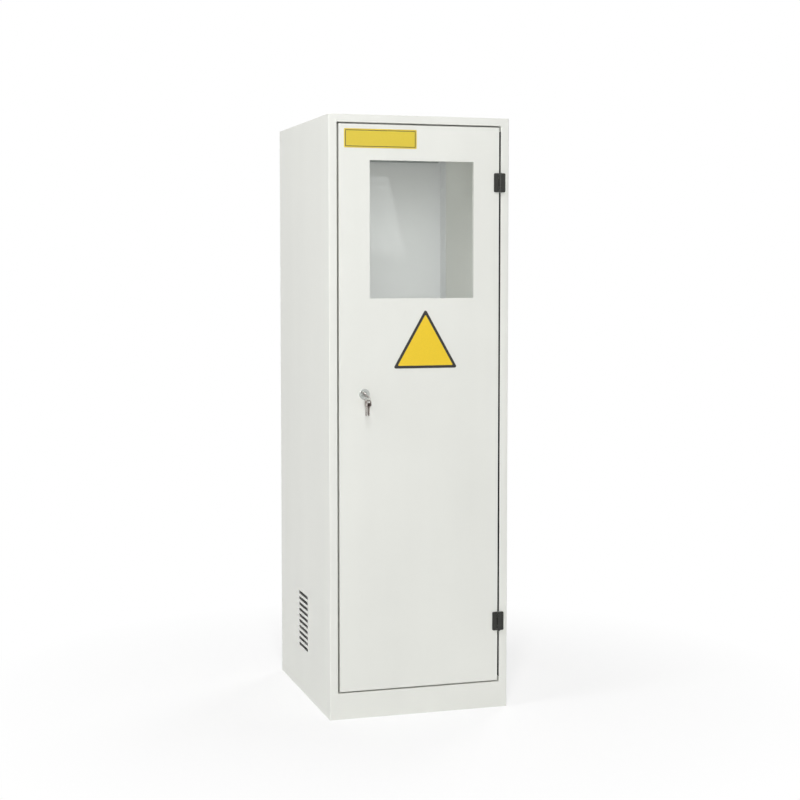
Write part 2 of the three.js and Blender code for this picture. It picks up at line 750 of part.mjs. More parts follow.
// A flat key in its own plane: the blade points to +v from its shoulder at v = 0, and the bow's
// eye lies across it. Placed with its thickness across the given axis.
function keySolid(axis) {
  const outline = new THREE.Shape();
  const blade = BLADE_WIDTH / 2;
  const neck = SHOULDER_WIDTH / 2;
  const bow = BOW_WIDTH / 2;
  const bowEnd = -SHOULDER - BOW_LENGTH;
  outline.moveTo(-blade, 0);
  outline.lineTo(-neck, 0);
  outline.lineTo(-neck, -SHOULDER);
  outline.bezierCurveTo(-bow, -SHOULDER, -bow, -SHOULDER, -bow, -SHOULDER - BOW_LENGTH / 2);
  outline.bezierCurveTo(-bow, bowEnd, -neck, bowEnd, 0, bowEnd);
  outline.bezierCurveTo(neck, bowEnd, bow, bowEnd, bow, -SHOULDER - BOW_LENGTH / 2);
  outline.bezierCurveTo(bow, -SHOULDER, bow, -SHOULDER, neck, -SHOULDER);
  outline.lineTo(neck, 0);
  outline.lineTo(blade, 0);
  BITS_SHARES.forEach((share, i) => {
    const middle = share * BLADE_LENGTH;
    outline.lineTo(blade, middle - BIT_WIDTH / 2);
    outline.lineTo(blade - BIT_DEPTH_SHARES[i] * BLADE_WIDTH, middle);
    outline.lineTo(blade, middle + BIT_WIDTH / 2);
  });
  outline.lineTo(blade, BLADE_LENGTH - BLADE_TIP / 2);
  outline.lineTo(0, BLADE_LENGTH);
  outline.lineTo(-blade, BLADE_LENGTH - BLADE_TIP);
  outline.holes.push(slot(0, bowEnd + EYE_FROM_END, EYE_LENGTH, EYE_HEIGHT));
  return extruded(outline, axis, -KEY / 2, KEY / 2);
}

function keyRing() {
  const torus = new THREE.TorusGeometry(RING_RADIUS, RING_WIRE, WIRE_STEPS, FINE_STEPS);
  torus.rotateX(Math.PI / 2);
  return solid(torus);
}

// How far below the ring's middle a spare key's eye rests: on the ring's inside, where that is
// highest within the key's turned plate.
function restBelow(angle, turn) {
  const plate = RING_RADIUS * Math.sin(Math.abs(angle)) + KEY / 2 / Math.cos(turn);
  const rests = [];
  for (let i = 0; i <= FINE_STEPS; i++) {
    const round = (i / FINE_STEPS) * (Math.PI / 2);
    const inside = RING_RADIUS - RING_WIRE * Math.cos(round);
    const side = plate + RING_WIRE * Math.sin(round) * Math.tan(turn);
    rests.push(Math.sqrt(inside ** 2 - side ** 2));
  }
  return Math.min(...rests);
}

// Cylinder cradles and retaining bar

function cylinderCradle(height) {
  const front = WALL_BACK - CRADLE_DEPTH;
  const span = [-CRADLE_WIDTH / 2, CRADLE_WIDTH / 2];
  const shelf = extruded(
    rectangle(span, [front, WALL_BACK + CRADLE_CORNER], CRADLE_CORNER),
    "z",
    height - CRADLE,
    height,
  );
  const flange = block(span, [WALL_BACK - CRADLE, WALL_BACK], [height - CRADLE_FLANGE, height]);
  const behind = block(
    [-WIDTH, WIDTH],
    [WALL_BACK, WALL_BACK + 2 * CRADLE_CORNER],
    [height - 2 * CRADLE, height + CRADLE],
  );
  const seat = (x) =>
    rod(
      CYLINDER_RADIUS + CRADLE_CLEARANCE,
      "z",
      x,
      CYLINDER_Y,
      height - CRADLE - OVERRUN,
      height + OVERRUN,
      2 * FINE_STEPS,
    );
  return shelf
    .add(flange)
    .subtract(behind)
    .subtract(seat(-CYLINDER_SPREAD))
    .subtract(seat(CYLINDER_SPREAD));
}

const BAR_GROOVE = BAR_RADIUS + BAR_PLAY; // half the space between ears or fork arms

// Two ears on a foot on the right wall, with the pivot pin through them.
function barBracket() {
  const wide = BAR_GROOVE + BRACKET;
  const foot = block(
    [WALL_SIDE - BRACKET, WALL_SIDE],
    [BAR_Y - wide - BRACKET_FLANGE, BAR_Y + wide + BRACKET_FLANGE],
    [BAR_HEIGHT - BRACKET_HEIGHT / 2, BAR_HEIGHT + BRACKET_HEIGHT / 2],
  );
  const outline = new THREE.Shape();
  outline.absarc(BAR_PIVOT_X, BAR_HEIGHT, EAR_RADIUS, Math.PI / 2, 1.5 * Math.PI);
  outline.lineTo(WALL_SIDE - BRACKET / 2, BAR_HEIGHT - BRACKET_HEIGHT / 2 + EAR_RADIUS / 2);
  outline.lineTo(WALL_SIDE - BRACKET / 2, BAR_HEIGHT + BRACKET_HEIGHT / 2 - EAR_RADIUS / 2);
  outline.closePath();
  const bore = rod(
    BAR_PIN_RADIUS + FIT,
    "y",
    BAR_PIVOT_X,
    BAR_HEIGHT,
    BAR_Y - wide - OVERRUN,
    BAR_Y + wide + OVERRUN,
  );
  return foot
    .add(extruded(outline, "y", BAR_Y - wide, BAR_Y - BAR_GROOVE))
    .add(extruded(outline, "y", BAR_Y + BAR_GROOVE, BAR_Y + wide))
    .subtract(bore);
}

function barPin() {
  const end = BAR_GROOVE + BRACKET + FIT;
  const across = (radius, from, to) => rod(radius, "y", BAR_PIVOT_X, BAR_HEIGHT, from, to);
  return joined([
    across(BAR_PIN_RADIUS, BAR_Y - end - BAR_PIN_HEAD / 2, BAR_Y + end + BAR_PIN_HEAD / 2),
    across(BAR_PIN_HEAD_RADIUS, BAR_Y - end - BAR_PIN_HEAD, BAR_Y - end),
    across(BAR_PIN_HEAD_RADIUS, BAR_Y + end, BAR_Y + end + BAR_PIN_HEAD),
  ]);
}

// An open fork on the left wall, which the bar drops into.
function barFork() {
  const wide = BAR_GROOVE + BRACKET;
  const top = BAR_HEIGHT + FORK_LIP;
  const foot = block(
    [-WALL_SIDE, BRACKET - WALL_SIDE],
    [BAR_Y - wide - BRACKET_FLANGE, BAR_Y + wide + BRACKET_FLANGE],
    [BAR_HEIGHT - BRACKET_HEIGHT / 2, top],
  );
  const outline = new THREE.Shape();
  outline.absarc(BAR_Y, BAR_HEIGHT, wide, -Math.PI, 0);
  outline.lineTo(BAR_Y + wide, top);
  outline.lineTo(BAR_Y + BAR_GROOVE, top);
  outline.absarc(BAR_Y, BAR_HEIGHT, BAR_GROOVE, 0, -Math.PI, true);
  outline.lineTo(BAR_Y - BAR_GROOVE, top);
  outline.lineTo(BAR_Y - wide, top);
  outline.closePath();
  return foot.add(extruded(outline, "x", BRACKET / 2 - WALL_SIDE, FORK_LENGTH - WALL_SIDE));
}

const BAR_TIP_X = BRACKET + BAR_TIP_GAP + CAP - WALL_SIDE;

function retainingBar() {
  const right = BAR_PIVOT_X + BAR_END;
  const tube = rod(BAR_RADIUS, "x", BAR_Y, BAR_HEIGHT, BAR_TIP_X, right);
  const hollow = rod(
    BAR_RADIUS - BAR_WALL,
    "x",
    BAR_Y,
    BAR_HEIGHT,
    BAR_TIP_X - OVERRUN,
    right + OVERRUN,
  );
  const bore = rod(
    BAR_PIN_RADIUS + FIT,
    "y",
    BAR_PIVOT_X,
    BAR_HEIGHT,
    BAR_Y - BAR_RADIUS - OVERRUN,
    BAR_Y + BAR_RADIUS + OVERRUN,
  );
  return tube.subtract(hollow).subtract(bore);
}

function barCap() {
  const disc = rod(BAR_RADIUS, "x", BAR_Y, BAR_HEIGHT, BAR_TIP_X - CAP, BAR_TIP_X);
  const stub = rod(
    BAR_RADIUS - BAR_WALL - FIT,
    "x",
    BAR_Y,
    BAR_HEIGHT,
    BAR_TIP_X - CAP / 2,
    BAR_TIP_X + CAP_STUB,
  );
  return disc.add(stub);
}

// Assembly

cabinet.add(
  piece("side_panel_left", "paint", sidePanel(-1)),
  piece("side_panel_right", "paint", sidePanel(1)),
  piece("back_panel", "liner", backPanel()),
  piece("roof_panel", "paint", roofPanel()),
  piece("head_rail", "paint", headRail()),
  piece("sill_rail", "paint", sillRail()),
  piece("floor_deck", "liner", floorDeck()),
  piece("base_runner_left", "zinc", baseRunner(-1)),
  piece("base_runner_right", "zinc", baseRunner(1)),
  piece("door_seal", "rubber", doorSeal()),
  piece("strike_plate", "zinc", strikePlate()),
  piece("bar_bracket", "zinc", barBracket()),
  piece("bar_fork", "zinc", barFork()),
  piece("bar_pivot_pin", "pin", barPin()),
);
for (const [place, height] of Object.entries(CRADLE_HEIGHTS))
  cabinet.add(piece("cylinder_cradle_" + place, "liner", cylinderCradle(height)));

const bar = new THREE.Group();
bar.add(piece("retaining_bar", "zinc", retainingBar()), piece("bar_end_cap", "rubber", barCap()));
cabinet.add(bar);

const door = new THREE.Group();
door.add(
  piece("door_skin", "paint", doorSkin()),
  piece("window_gasket", "rubber", windowGasket()),
  piece("window_pane", "glass", windowPane()),
  piece("window_frame", "paint", windowFrame()),
  piece("lock_rosette", "chrome", lockRosette()),
  piece("lock_barrel", "chrome", lockBarrel()),
  piece("lock_nut", "zinc", lockNut()),
);
for (const [place, height] of Object.entries(STIFFENER_HEIGHTS))
  door.add(piece("door_stiffener_" + place, "liner", doorStiffener(height)));
const hingeMiddles = {
  upper: DOOR_HEAD - HINGE_FROM_HEAD,
  lower: DOOR_FOOT + HINGE_FROM_FOOT,
};
for (const [place, middle] of Object.entries(hingeMiddles)) {
  door.add(piece("hinge_door_leaf_" + place, "hinge", hingeLeaf(-1, middle)));
  cabinet.add(piece("hinge_frame_leaf_" + place, "hinge", hingeLeaf(1, middle)));
  cabinet.add(piece("hinge_pin_" + place, "pin", hingePin(middle)));
}
cabinet.add(door);

const lock = new THREE.Group();
lock.position.set(LOCK_X, 0, LOCK_HEIGHT);
lock.add(
  piece("lock_plug", "chrome", lockPlug()),
  piece("lock_cam", "zinc", lockCam()),
  piece("cam_screw", "zinc", camScrew()),
);
door.add(lock);

const key = piece("key", "nickel", keySolid("z"));
key.position.y = KEY_SHOULDER_Y;
key.rotation.y = TILT;
lock.add(key);

// The ring hangs in the lower end of the tilted bow's eye, and the spare keys hang on the ring.
const eyeOff = (EYE_LENGTH - EYE_HEIGHT) / 2;
const ringX = eyeOff * Math.cos(TILT);
const ringZ = -eyeOff * Math.sin(TILT) - RING_RADIUS;
const ringMesh = piece("key_ring", "nickel", keyRing());
ringMesh.position.set(ringX, FACE - EYE_OUT, ringZ);
lock.add(ringMesh);

["left", "right"].forEach((place, i) => {
  const angle = THREE.MathUtils.degToRad(SPARE_PLACES[i]);
  const turn = THREE.MathUtils.degToRad(SPARE_TURNS[i]);
  const spare = piece("spare_key_" + place, "nickel", keySolid("x"));
  const eyeTop = SHOULDER + BOW_LENGTH - EYE_FROM_END + EYE_HEIGHT / 2;
  spare.rotation.set(Math.PI, 0, turn, "ZXY");
  spare.position.set(
    ringX + RING_RADIUS * Math.sin(angle),
    FACE - EYE_OUT,
    ringZ - restBelow(angle, turn) + FIT - eyeTop,
  );
  lock.add(spare);
});

export default cabinet;
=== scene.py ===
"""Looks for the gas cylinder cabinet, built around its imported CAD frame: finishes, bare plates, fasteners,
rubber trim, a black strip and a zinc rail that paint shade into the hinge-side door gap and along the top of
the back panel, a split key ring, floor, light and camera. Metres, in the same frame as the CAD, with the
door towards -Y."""

import json
import math

import bmesh
import bpy
from mathutils import Matrix, Vector


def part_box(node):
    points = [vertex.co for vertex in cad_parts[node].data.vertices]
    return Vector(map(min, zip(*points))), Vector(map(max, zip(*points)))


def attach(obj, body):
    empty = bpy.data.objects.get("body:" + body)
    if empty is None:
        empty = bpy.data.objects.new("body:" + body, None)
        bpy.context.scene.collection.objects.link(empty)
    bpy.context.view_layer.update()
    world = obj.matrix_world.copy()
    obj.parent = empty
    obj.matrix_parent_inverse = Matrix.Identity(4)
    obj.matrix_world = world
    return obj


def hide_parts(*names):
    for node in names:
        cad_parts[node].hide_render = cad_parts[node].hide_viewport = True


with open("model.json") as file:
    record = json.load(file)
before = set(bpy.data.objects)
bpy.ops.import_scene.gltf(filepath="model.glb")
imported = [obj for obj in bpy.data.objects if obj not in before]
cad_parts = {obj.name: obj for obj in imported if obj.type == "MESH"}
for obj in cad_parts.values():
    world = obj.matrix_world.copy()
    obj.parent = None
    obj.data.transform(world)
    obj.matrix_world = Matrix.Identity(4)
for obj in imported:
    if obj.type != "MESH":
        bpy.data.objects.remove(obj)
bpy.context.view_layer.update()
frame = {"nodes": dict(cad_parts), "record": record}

MM = 0.001
MICRON = 1e-6
TURN = 2 * math.pi

# Places that the CAD fixes, read from its nodes

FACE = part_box("door_skin")[0].y
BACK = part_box("side_panel_left")[1].y
HALF_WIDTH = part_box("side_panel_right")[1].x
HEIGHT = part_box("roof_panel")[1].z

# Colours as the screen shows them, from 0 to 255

PAINT = (234, 235, 229)
LINER = (235, 236, 237)
HINGE = (38, 39, 35)
PIN = (120, 120, 117)
ZINC = (176, 180, 182)
CHROME = (188, 192, 188)
NICKEL = (176, 168, 164)
RUBBER = (38, 39, 39)
GLASS = (253, 254, 253)
SIGN_YELLOW = (240, 204, 41)
LABEL_YELLOW = (220, 196, 62)
PRINT_BLACK = (30, 29, 28)

# Colours of light and floor, as Blender wants them
WHITE = (1.0, 1.0, 1.0, 1.0)
FLOOR_GREY = (0.93, 0.93, 0.93, 1.0)


def linear(color, share=1.0):
    """The colour as Blender wants it, with its light scaled by share."""
    parts = [part / 255 for part in color]
    parts = [part / 12.92 if part <= 0.04045 else ((part + 0.055) / 1.055) ** 2.4 for part in parts]
    return (*(min(part * share, 1) for part in parts), 1.0)


# Materials


class Nodes:
    """The node tree of a material or a world, with short ways to add nodes and feed their inputs."""

    def __init__(self, owner):
        owner.use_nodes = True
        self.tree = owner.node_tree

    def feed(self, target, value):
        """Joins an output to the target, or sets the target to a number or colour."""
        if isinstance(value, bpy.types.NodeSocket):
            self.tree.links.new(value, target)
        else:
            target.default_value = value

    def add(self, kind, **settings):
        """A new node. A setting that is named like an input feeds it, and any other is set on the node."""
        node = self.tree.nodes.new(kind)
        for key, value in settings.items():
            if key in node.inputs:
                self.feed(node.inputs[key], value)
            else:
                setattr(node, key, value)
        return node

    def combined(self, operation, first, second):
        """What a math node makes of two values."""
        node = self.add("ShaderNodeMath", operation=operation)
        self.feed(node.inputs[0], first)
        self.feed(node.inputs[1], second)
        return node.outputs[0]

    def seen_directly(self):
        """1 for the rays that show a thing itself, also in metal and through glass, and 0 for its light."""
        path = self.add("ShaderNodeLightPath")
        seen = path.outputs["Is Camera Ray"]
        for ray in ("Is Glossy Ray", "Is Transmission Ray"):
            seen = self.combined("MAXIMUM", seen, path.outputs[ray])
        return seen

    def show_mixed(self, share, first, second):
        """Shows the first shader, and the second in its place by the share."""
        mix = self.add("ShaderNodeMixShader", Fac=share)
        self.feed(mix.inputs[1], first)
        self.feed(mix.inputs[2], second)
        output = self.tree.nodes.get("Material Output") or self.tree.nodes["World Output"]
        self.feed(output.inputs["Surface"], mix.outputs["Shader"])


class Finish(Nodes):
    """A material around one Principled shader, which takes its patterns from the object's own place."""

    def __init__(self, name):
        self.material = bpy.data.materials.new(name)
        super().__init__(self.material)
        self.shader = self.tree.nodes["Principled BSDF"]
        self.place = self.add("ShaderNodeTexCoord").outputs["Object"]

    def stretched(self, scale):
        return self.add("ShaderNodeMapping", Scale=scale, Vector=self.place).outputs["Vector"]

    def noise(self, scale, detail, where=None):
        node = self.add("ShaderNodeTexNoise", Scale=scale, Detail=detail, Vector=where or self.place)
        return node.outputs["Fac"]

    def cells(self, scale):
        return self.add("ShaderNodeTexVoronoi", Scale=scale, Vector=self.place).outputs["Color"]

    def spread(self, value, low, high, start=0.3, end=0.7):
        """value taken from the range start to end into the range low to high."""
        node = self.add("ShaderNodeMapRange", Value=value)
        for key, number in zip(("From Min", "From Max", "To Min", "To Max"), (start, end, low, high)):
            self.feed(node.inputs[key], number)
        return node.outputs["Result"]

    def tinted(self, value, dark, light, start=0.3, end=0.7):
        """The colours from dark to light as value goes from start to end."""
        node = self.add("ShaderNodeValToRGB", Fac=value)
        ramp = node.color_ramp.elements
        ramp[0].position, ramp[1].position = start, end
        ramp[0].color, ramp[1].color = dark, light
        return node.outputs["Color"]

    def bump(self, height, depth, strength, under=None):
        """A bump of the depth, on top of another where one lies under it."""
        node = self.add("ShaderNodeBump", Height=height, Distance=depth, Strength=strength)
        if under:
            self.feed(node.inputs["Normal"], under)
        return node.outputs["Normal"]

    def dress(self, **sockets):
        """Feeds the shader's sockets, named with underscores for spaces, and returns the material."""
        for key, value in sockets.items():
            self.feed(self.shader.inputs[key.replace("_", " ")], value)
        return self.material


# How a pattern's places are stretched along x, y and z: a small number draws it out that way
UPRIGHT_STREAKS = (1.0, 1.0, 0.12)
DRAWN_LINES = (1.0, 1.0, 0.05)
HANDLING_SCRATCHES = (1.0, 0.2, 0.06)


def powder_coat(name, color, roughness, peel=520.0):
    """Sprayed and baked powder paint: faint clouds in the colour and the fine waves of orange peel."""
    finish = Finish(name)
    clouds = finish.noise(scale=2.6, detail=3.0)
    streaks = finish.noise(scale=9.0, detail=2.0, where=finish.stretched(UPRIGHT_STREAKS))
    both = finish.add("ShaderNodeMix", data_type="FLOAT", Factor=0.4, A=clouds, B=streaks)
    waves = finish.noise(scale=peel, detail=1.5)
    grain = finish.noise(scale=peel * 4.6, detail=1.0)
    waved = finish.bump(waves, depth=14 * MICRON, strength=0.8)
    return finish.dress(
        Base_Color=finish.tinted(both.outputs["Result"], linear(color, 0.965), linear(color, 1.015)),
        Roughness=finish.spread(clouds, roughness - 0.04, roughness + 0.05),
        Normal=finish.bump(grain, depth=5 * MICRON, strength=0.6, under=waved),
        Specular_IOR_Level=0.42,
    )


def die_casting(name, color):
    """Black coated die casting: a dull, slightly grainy skin, paler where the coat is thin."""
    finish = Finish(name)
    grain = finish.noise(scale=900.0, detail=3.0)
    patches = finish.noise(scale=60.0, detail=2.0)
    return finish.dress(
        Base_Color=finish.tinted(patches, linear(color, 0.82), linear(color, 1.2)),
        Roughness=finish.spread(grain, 0.42, 0.6),
        Normal=finish.bump(grain, depth=30 * MICRON, strength=0.7),
        Specular_IOR_Level=0.4,
    )


def plated(name, color, roughness, spangle=140.0, lines=None):
    """Plated steel: soft crystal patches, and drawn lines where the piece is rolled or turned."""
    finish = Finish(name)
    patches = finish.add("ShaderNodeRGBToBW", Color=finish.cells(spangle)).outputs["Val"]
    if lines:
        fine = finish.noise(scale=2400.0, detail=2.0, where=finish.stretched(lines))
    else:
        fine = finish.noise(scale=1500.0, detail=2.0)
    return finish.dress(
        Base_Color=finish.tinted(patches, linear(color, 0.9), linear(color, 1.06), start=0.2, end=0.8),
        Metallic=1.0,
        Roughness=finish.spread(patches, roughness - 0.05, roughness + 0.07, start=0.2, end=0.8),
        Normal=finish.bump(fine, depth=6 * MICRON, strength=0.6),
    )


def polished(name, color, roughness):
    """Bright plating with the faint haze and scratches of handling."""
    finish = Finish(name)
    haze = finish.noise(scale=120.0, detail=4.0)
    scratches = finish.noise(scale=1800.0, detail=3.0, where=finish.stretched(HANDLING_SCRATCHES))
    return finish.dress(
        Base_Color=finish.tinted(haze, linear(color, 0.92), linear(color, 1.04)),
        Metallic=1.0,
        Roughness=finish.spread(haze, roughness * 0.75, roughness * 1.4),
        Normal=finish.bump(scratches, depth=4 * MICRON, strength=0.7),
    )


def rubber(name, color):
    """Moulded rubber: a fine dull skin with paler bloom."""
    finish = Finish(name)
    bloom = finish.noise(scale=45.0, detail=3.0)
    skin = finish.noise(scale=1300.0, detail=2.0)
    return finish.dress(
        Base_Color=finish.tinted(bloom, linear(color, 0.85), linear(color, 1.25)),
        Roughness=finish.spread(bloom, 0.72, 0.88),
        Normal=finish.bump(skin, depth=20 * MICRON, strength=0.6),
        Specular_IOR_Level=0.3,
    )


def printed_film(name, color, roughness=0.36):
    """Printed and laminated film of a plate: even ink with a faint grain and soft waves in the gloss."""
    finish = Finish(name)
    ink = finish.noise(scale=420.0, detail=3.0)
    waves = finish.noise(scale=16.0, detail=2.0)
    return finish.dress(
        Base_Color=finish.tinted(ink, linear(color, 0.95), linear(color, 1.04)),
        Roughness=finish.spread(waves, roughness - 0.05, roughness + 0.06),
        Normal=finish.bump(waves, depth=40 * MICRON, strength=0.5),
    )


def clear_pane(name, color):
    """Thin clear pane: light passes straight through, and its front mirrors what both faces would."""
    finish = Finish(name)
    finish.tree.nodes.remove(finish.shader)
    dust = finish.noise(scale=34.0, detail=4.0)
    clear = finish.add("ShaderNodeBsdfTransparent", Color=linear(color))
    haze = finish.spread(dust, 0.01, 0.07, start=0.45, end=0.8)
    mirror = finish.add("ShaderNodeBsdfAnisotropic", Roughness=haze)
    fresnel = finish.add("ShaderNodeFresnel", IOR=1.62)
    back = finish.add("ShaderNodeNewGeometry").outputs["Backfacing"]
    front = finish.combined("SUBTRACT", 1.0, back)
    share = finish.combined("MULTIPLY", fresnel.outputs["Fac"], front)
    finish.show_mixed(share, clear.outputs["BSDF"], mirror.outputs["BSDF"])
    return finish.material


finishes = {
    "body_paint": powder_coat("body_paint", PAINT, roughness=0.46),
    "interior_paint": powder_coat("interior_paint", LINER, roughness=0.5, peel=430.0),
    "zinc_steel": plated("zinc_steel", ZINC, roughness=0.34),
    "hinge_black": die_casting("hinge_black", HINGE),
    "pin_steel": plated("pin_steel", PIN, roughness=0.3, spangle=260.0, lines=DRAWN_LINES),
    "lock_chrome": polished("lock_chrome", CHROME, roughness=0.16),
    "key_nickel": polished("key_nickel", NICKEL, roughness=0.3),
    "black_rubber": rubber("black_rubber", RUBBER),
    "window_glass": clear_pane("window_glass", GLASS),
}
sign_yellow = printed_film("sign_yellow", SIGN_YELLOW)
label_yellow = printed_film("label_yellow", LABEL_YELLOW)
print_black = printed_film("print_black", PRINT_BLACK, roughness=0.42)

# Shading of meshes

SHARP_ANGLE = math.radians(50)
FLAT_ANGLE = math.radians(0.3)
WELD_GAP = 0.002 * MM
BEVEL_STEPS = 2


def smoothing():
    """Geometry nodes that shade faces smooth and keep the edges above the sharp angle sharp."""
    tree = bpy.data.node_groups.new("smooth_by_angle", "GeometryNodeTree")
    tree.interface.new_socket("Geometry", in_out="INPUT", socket_type="NodeSocketGeometry")
    tree.interface.new_socket("Geometry", in_out="OUTPUT", socket_type="NodeSocketGeometry")
    begin = tree.nodes.new("NodeGroupInput")
    end = tree.nodes.new("NodeGroupOutput")
    faces = tree.nodes.new("GeometryNodeSetShadeSmooth")
    edges = tree.nodes.new("GeometryNodeSetShadeSmooth")
    edges.domain = "EDGE"
    angle = tree.nodes.new("GeometryNodeInputMeshEdgeAngle")
    flat_enough = tree.nodes.new("FunctionNodeCompare")
    flat_enough.data_type = "FLOAT"
    flat_enough.operation = "LESS_EQUAL"
    flat_enough.inputs["B"].default_value = SHARP_ANGLE
    for source, target in (
        (begin.outputs[0], faces.inputs["Geometry"]),
        (faces.outputs[0], edges.inputs["Geometry"]),
        (angle.outputs["Unsigned Angle"], flat_enough.inputs["A"]),
        (flat_enough.outputs["Result"], edges.inputs["Shade Smooth"]),
        (edges.outputs[0], end.inputs[0]),
    ):
        tree.links.new(source, target)
    return tree


smooth_tree = smoothing()


def softened(obj, width, weld=False):
    """Rounds an object's sharp edges by width and shades it smooth, without changing its mesh."""
    if weld:
        obj.modifiers.new("weld", "WELD").merge_threshold = WELD_GAP
        planar = obj.modifiers.new("planar", "DECIMATE")
        planar.decimate_type = "DISSOLVE"
        planar.angle_limit = FLAT_ANGLE
    if width:
        bevel = obj.modifiers.new("bevel", "BEVEL")
        bevel.width = width
        bevel.segments = BEVEL_STEPS
        bevel.limit_method = "ANGLE"
        bevel.angle_limit = SHARP_ANGLE
        bevel.use_clamp_overlap = True
    obj.modifiers.new("smooth", "NODES").node_group = smooth_tree
    weighted = obj.modifiers.new("weighted", "WEIGHTED_NORMAL")
    weighted.keep_sharp = True


# CAD nodes: finishes and edge rounding

EDGE = {
    "body_paint": 0.35 * MM,
    "interior_paint": 0.35 * MM,
    "zinc_steel": 0.3 * MM,
    "hinge_black": 0.3 * MM,
    "pin_steel": 0.25 * MM,
    "lock_chrome": 0.2 * MM,
    "key_nickel": 0.25 * MM,
    "black_rubber": 0.4 * MM,
    "window_glass": 0.3 * MM,
}
for part in frame["record"]["subparts"]:
    node = frame["nodes"][part["node"]]
    slot = part["material_slot"]
    for material_slot in node.material_slots:
        material_slot.material = finishes[slot]
    softened(node, EDGE[slot], weld=True)

# Meshes of the script's own


def made(name, mesh, body, slot=None, materials=None, edge=0.0):
    """A new piece from a bmesh, riding on a body, with its slot's finish or with materials of its own."""
    data = bpy.data.meshes.new(name)
    bmesh.ops.recalc_face_normals(mesh, faces=mesh.faces)
    mesh.to_mesh(data)
    mesh.free()
    for material in materials or [finishes[slot]]:
        data.materials.append(material)
    obj = bpy.data.objects.new(name, data)
    bpy.context.scene.collection.objects.link(obj)
    softened(obj, edge)
    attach(obj, body)
    return obj


def walled(mesh, low, high):
    """Adds the faces between two loops of vertices, and returns them."""
    faces = []
    for here in range(len(low)):
        after = (here + 1) % len(low)
        faces.append(mesh.faces.new((low[here], low[after], high[after], high[here])))
    return faces


def closed(mesh, loops):
    """Adds the faces of a body that runs through the loops, with a face at each end."""
    for low, high in zip(loops, loops[1:]):
        walled(mesh, low, high)
    mesh.faces.new(loops[0][::-1])
    mesh.faces.new(loops[-1])


# Fasteners' heads

ROUND = 0
HEXAGON = 6
TURNED_STEPS = 24
# How far a head reaches below its seat, so that no slit shows
SUNK = 0.3 * MM
WASHER = 1.0 * MM
WASHER_EDGE = 0.2 * MM


def facing(axis, place):
    """A turn that takes +Z to the axis, and then a move to the place."""
    return Matrix.Translation(Vector(place)) @ Vector(axis).to_track_quat("Z", "Y").to_matrix().to_4x4()


def turned(mesh, rings, at):
    """Adds a closed turned body. Each ring is (radius, height, sides), with ROUND or HEXAGON for sides."""
    loops = []
    for radius, height, sides in rings:
        loop = []
        for step in range(TURNED_STEPS):
            angle = TURN * step / TURNED_STEPS
            reach = radius
            if sides:
                part = TURN / sides
                reach *= math.cos(part / 2) / math.cos(angle % part - part / 2)
            spot = Vector((reach * math.cos(angle), reach * math.sin(angle), height))
            loop.append(mesh.verts.new(at @ spot))
        loops.append(loop)
    closed(mesh, loops)


def domed(mesh, at, radius, rise, angles, hole, bottom, sides):
    """Adds a domed head that rises along the angles, with a hole in its top down to the bottom height."""
    dome = [(radius * math.cos(angle), rise * math.sin(angle), ROUND) for angle in angles]
    turned(mesh, [(radius, -SUNK, ROUND), *dome, (hole, rise, sides), (hole, bottom, sides)], at)


def button_screw(mesh, at, radius):
    """A domed head with a hexagon socket, standing on its seat."""
    rise = 0.55 * radius
    domed(mesh, at, radius, rise, (0.0, 0.35, 0.7, 1.02), 0.52 * radius, 0.3 * rise, HEXAGON)


def blind_rivet(mesh, at, radius):
    """A low domed rivet head with the hole that its mandrel left."""
    rise = 0.34 * radius
    domed(mesh, at, radius, rise, (0.0, 0.4, 0.8, 1.1), 0.3 * radius, 0.35 * rise, ROUND)


def hex_bolt(mesh, at, radius):
    """A hexagon head on a washer, with the corners of both turned off."""
    wide = 1.25 * radius
    rings = [
        (wide, -SUNK, ROUND),
        (wide, WASHER - WASHER_EDGE, ROUND),
        (wide - WASHER_EDGE, WASHER, ROUND),
        (0.99 * radius, WASHER, HEXAGON),
        (radius, WASHER + 0.1 * MM, HEXAGON),
        (radius, WASHER + 0.55 * radius, HEXAGON),
        (0.86 * radius, WASHER + 0.68 * radius, ROUND),
    ]
    turned(mesh, rings, at)


def fasteners(name, body, slot, head, places, axis, radius):
    """One piece with a head of the radius at each of the places, all pointing along the axis."""
    mesh = bmesh.new()
    for place in places:
        head(mesh, facing(axis, place), radius)
    made(name, mesh, body, slot)


# Plates on the door, both without any print inside their border

CORNER_STEPS = 6


def corner_of(corners, index):
    """A corner of a convex outline, the directions back and ahead from it, and half its angle."""
    corner = Vector(corners[index])
    back = (Vector(corners[index - 1]) - corner).normalized()
    ahead = (Vector(corners[(index + 1) % len(corners)]) - corner).normalized()
    return corner, back, ahead, back.angle(ahead) / 2


def rounded(corners, radius):
    """A convex outline with each of its corners turned into an arc of the radius."""
    points = []
    for index in range(len(corners)):
        corner, back, ahead, half = corner_of(corners, index)
        centre = corner + (back + ahead).normalized() * (radius / math.sin(half))
        first = corner + back * (radius / math.tan(half)) - centre
        last = corner + ahead * (radius / math.tan(half)) - centre
        sweep = math.pi - 2 * half
        for step in range(CORNER_STEPS + 1):
            share = step / CORNER_STEPS
            spot = first * math.sin((1 - share) * sweep) + last * math.sin(share * sweep)
            points.append(centre + spot / math.sin(sweep))
    return points


def inset(corners, distance):
    """The corners of a convex outline moved inwards, so that each side moves by the distance."""
    moved = []
    for index in range(len(corners)):
        corner, back, ahead, half = corner_of(corners, index)
        moved.append(corner + (back + ahead).normalized() * (distance / math.sin(half)))
    return moved


